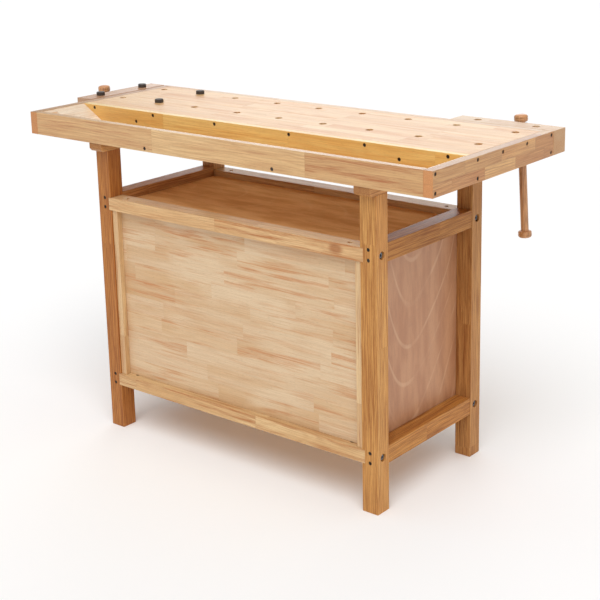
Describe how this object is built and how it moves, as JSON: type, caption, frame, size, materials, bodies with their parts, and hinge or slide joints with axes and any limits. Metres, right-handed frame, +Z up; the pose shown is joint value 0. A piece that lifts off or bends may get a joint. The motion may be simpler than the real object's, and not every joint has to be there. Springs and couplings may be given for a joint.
{
  "type": "joiner's workbench",
  "caption": "Wooden joiner's workbench with a dog-hole slab, an open tool tray, a front vise, a tail vise and a cabinet base.",
  "frame": {"origin": "on the floor under the middle of the bounding box at rest", "axes": "+X to the right as seen from the front, where the tail vise is, +Y to the back, where the tool tray is, +Z up"},
  "size_m": [1.4306, 0.6396, 0.8707],
  "materials": {
    "top_wood": "pale glue-laminated birch or beech staves, oiled, satin",
    "golden_wood": "warm golden wood, satin",
    "edge_wood": "light tan solid wood, satin",
    "base_wood": "orange-brown solid wood, satin",
    "rail_wood": "light brown solid wood, satin",
    "panel_wood": "pale glued staves with orange streaks, satin",
    "plywood_red": "reddish plywood with vertical grain, satin",
    "plywood_tan": "tan plywood, satin",
    "front_wood": "light solid wood, satin",
    "turned_wood": "turned wood, polished",
    "steel": "bare steel",
    "cast_iron": "dark cast iron",
    "dog_plastic": "charcoal moulded plastic",
    "bolt_steel": "blue-grey zinc-plated steel",
    "screw_steel": "dark hardened steel"
  },
  "bodies": {
    "root": {"slab": "top_wood", "slab_front_skirt": "top_wood", "slab_back_skirt": "golden_wood", "end_cap_left": "edge_wood", "end_cap_right": "edge_wood", "back_rail": "edge_wood", "tray_floor": "top_wood", "tray_ramp_left": "top_wood", "tray_ramp_right": "top_wood", "bearer_left": "base_wood", "bearer_right": "base_wood", "leg_front_left": "base_wood", "leg_front_right": "base_wood", "leg_back_left": "base_wood", "leg_back_right": "base_wood", "rail_front_upper": "rail_wood", "rail_front_lower": "rail_wood", "rail_back_upper": "rail_wood", "rail_back_lower": "rail_wood", "rail_left_upper": "base_wood", "rail_left_lower": "base_wood", "rail_right_upper": "base_wood", "rail_right_lower": "base_wood", "back_panel": "panel_wood", "panel_battens": "rail_wood", "side_panel_left": "plywood_red", "side_panel_right": "plywood_red", "cabinet_top": "plywood_tan", "cabinet_floor": "plywood_tan", "divider": "plywood_red", "drawer_runners": "front_wood", "door_hinges": "steel", "front_guide": "cast_iron", "tail_guide": "cast_iron", "frame_bolts": "bolt_steel", "wood_screws": "screw_steel"},
    "drawer_upper": {"drawer_upper_front": "front_wood", "drawer_upper_box": "front_wood", "drawer_upper_knob": "turned_wood"},
    "drawer_lower": {"drawer_lower_front": "front_wood", "drawer_lower_box": "front_wood", "drawer_lower_knob": "turned_wood"},
    "door": {"cupboard_door": "front_wood", "door_knob": "turned_wood", "door_hinge_leaves": "steel"},
    "front_vise_jaw": {"front_jaw": "edge_wood", "front_rods": "steel", "front_flange": "cast_iron"},
    "front_vise_screw": {"front_screw": "steel"},
    "front_vise_handle": {"front_handle": "turned_wood"},
    "tail_vise_jaw": {"tail_jaw": "edge_wood", "tail_rods": "steel", "tail_flange": "cast_iron"},
    "tail_vise_screw": {"tail_screw": "steel"},
    "tail_vise_handle": {"tail_handle": "turned_wood"},
    "dog_1": {"dog_slab_front": "dog_plastic"},
    "dog_2": {"dog_slab_back": "dog_plastic"},
    "dog_3": {"dog_jaw_front": "dog_plastic"},
    "dog_4": {"dog_jaw_back": "dog_plastic"}
  },
  "joints": [
    {"name": "drawer_upper_slide", "type": "slide", "parent": "root", "child": "drawer_upper", "axis": [0, -1, 0], "range_m": [0, 0.29]},
    {"name": "drawer_lower_slide", "type": "slide", "parent": "root", "child": "drawer_lower", "axis": [0, -1, 0], "range_m": [0, 0.29]},
    {"name": "door_hinge", "type": "hinge", "parent": "root", "child": "door", "pos_m": [-0.49955, -0.14745, 0.38775], "axis": [0, 0, -1], "range_deg": [0, 90]},
    {"name": "front_vise_slide", "type": "slide", "parent": "root", "child": "front_vise_jaw", "axis": [0, -1, 0], "range_m": [0, 0.13]},
    {"name": "front_vise_turn", "type": "hinge", "parent": "front_vise_jaw", "child": "front_vise_screw", "pos_m": [-0.56775, -0.19925, 0.826], "axis": [0, -1, 0], "range_deg": [0, 9360]},
    {"name": "front_handle_slide", "type": "slide", "parent": "front_vise_screw", "child": "front_vise_handle", "axis": [0.061, 0, 0.9981], "range_m": [0, 0.23]},
    {"name": "tail_vise_slide", "type": "slide", "parent": "root", "child": "tail_vise_jaw", "axis": [1, 0, 0], "range_m": [-0.005, 0.125]},
    {"name": "tail_vise_turn", "type": "hinge", "parent": "tail_vise_jaw", "child": "tail_vise_screw", "pos_m": [0.58975, -0.05175, 0.826], "axis": [1, 0, 0], "range_deg": [-360, 9000]},
    {"name": "tail_handle_slide", "type": "slide", "parent": "tail_vise_screw", "child": "tail_vise_handle", "axis": [0, 0.0523, 0.9986], "range_m": [0, 0.23]},
    {"name": "dog_1_lift", "type": "slide", "parent": "root", "child": "dog_1", "axis": [0, 0, 1], "range_m": [0, 0.045]},
    {"name": "dog_2_lift", "type": "slide", "parent": "root", "child": "dog_2", "axis": [0, 0, 1], "range_m": [0, 0.045]},
    {"name": "dog_3_lift", "type": "slide", "parent": "tail_vise_jaw", "child": "dog_3", "axis": [0, 0, 1], "range_m": [0, 0.045]},
    {"name": "dog_4_lift", "type": "slide", "parent": "tail_vise_jaw", "child": "dog_4", "axis": [0, 0, 1], "range_m": [0, 0.045]}
  ],
  "couplings": [
    {"joint": "front_vise_slide", "follows": "front_vise_turn", "m_per_rad": 0.00079577},
    {"joint": "tail_vise_slide", "follows": "tail_vise_turn", "m_per_rad": 0.00079577}
  ]
}
